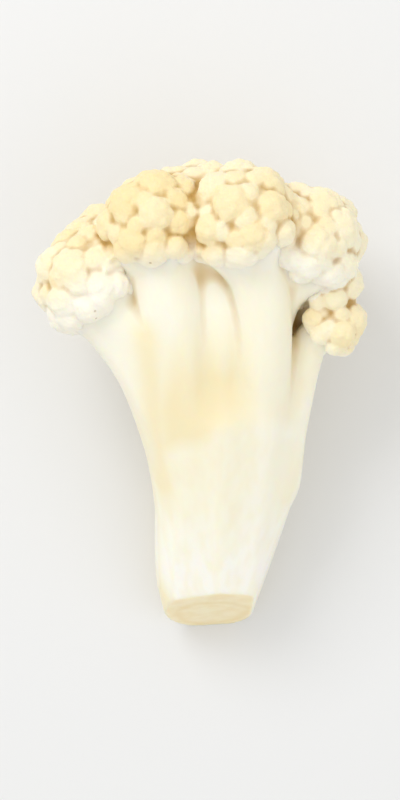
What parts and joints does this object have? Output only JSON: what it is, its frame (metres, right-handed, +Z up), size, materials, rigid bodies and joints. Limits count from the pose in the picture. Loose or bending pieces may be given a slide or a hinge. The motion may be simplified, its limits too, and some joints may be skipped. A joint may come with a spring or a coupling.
{
  "type": "cauliflower floret",
  "caption": "Raw cauliflower floret lying on its side: a trimmed white stalk that forks into branches under a knobbly cream crown of curd.",
  "frame": {"origin": "on the table, under the middle of the floret's bounding box", "axes": "+Z up from the table the floret lies on, +Y along the stalk from its cut end towards the crown, +X across it"},
  "size_m": [0.0526, 0.076, 0.0428],
  "materials": {
    "stalk": "waxy, smooth, slightly translucent",
    "curd": "matte, finely granular"
  },
  "bodies": {
    "root": {"stalk": "stalk", "curd": "curd"}
  },
  "joints": []
}
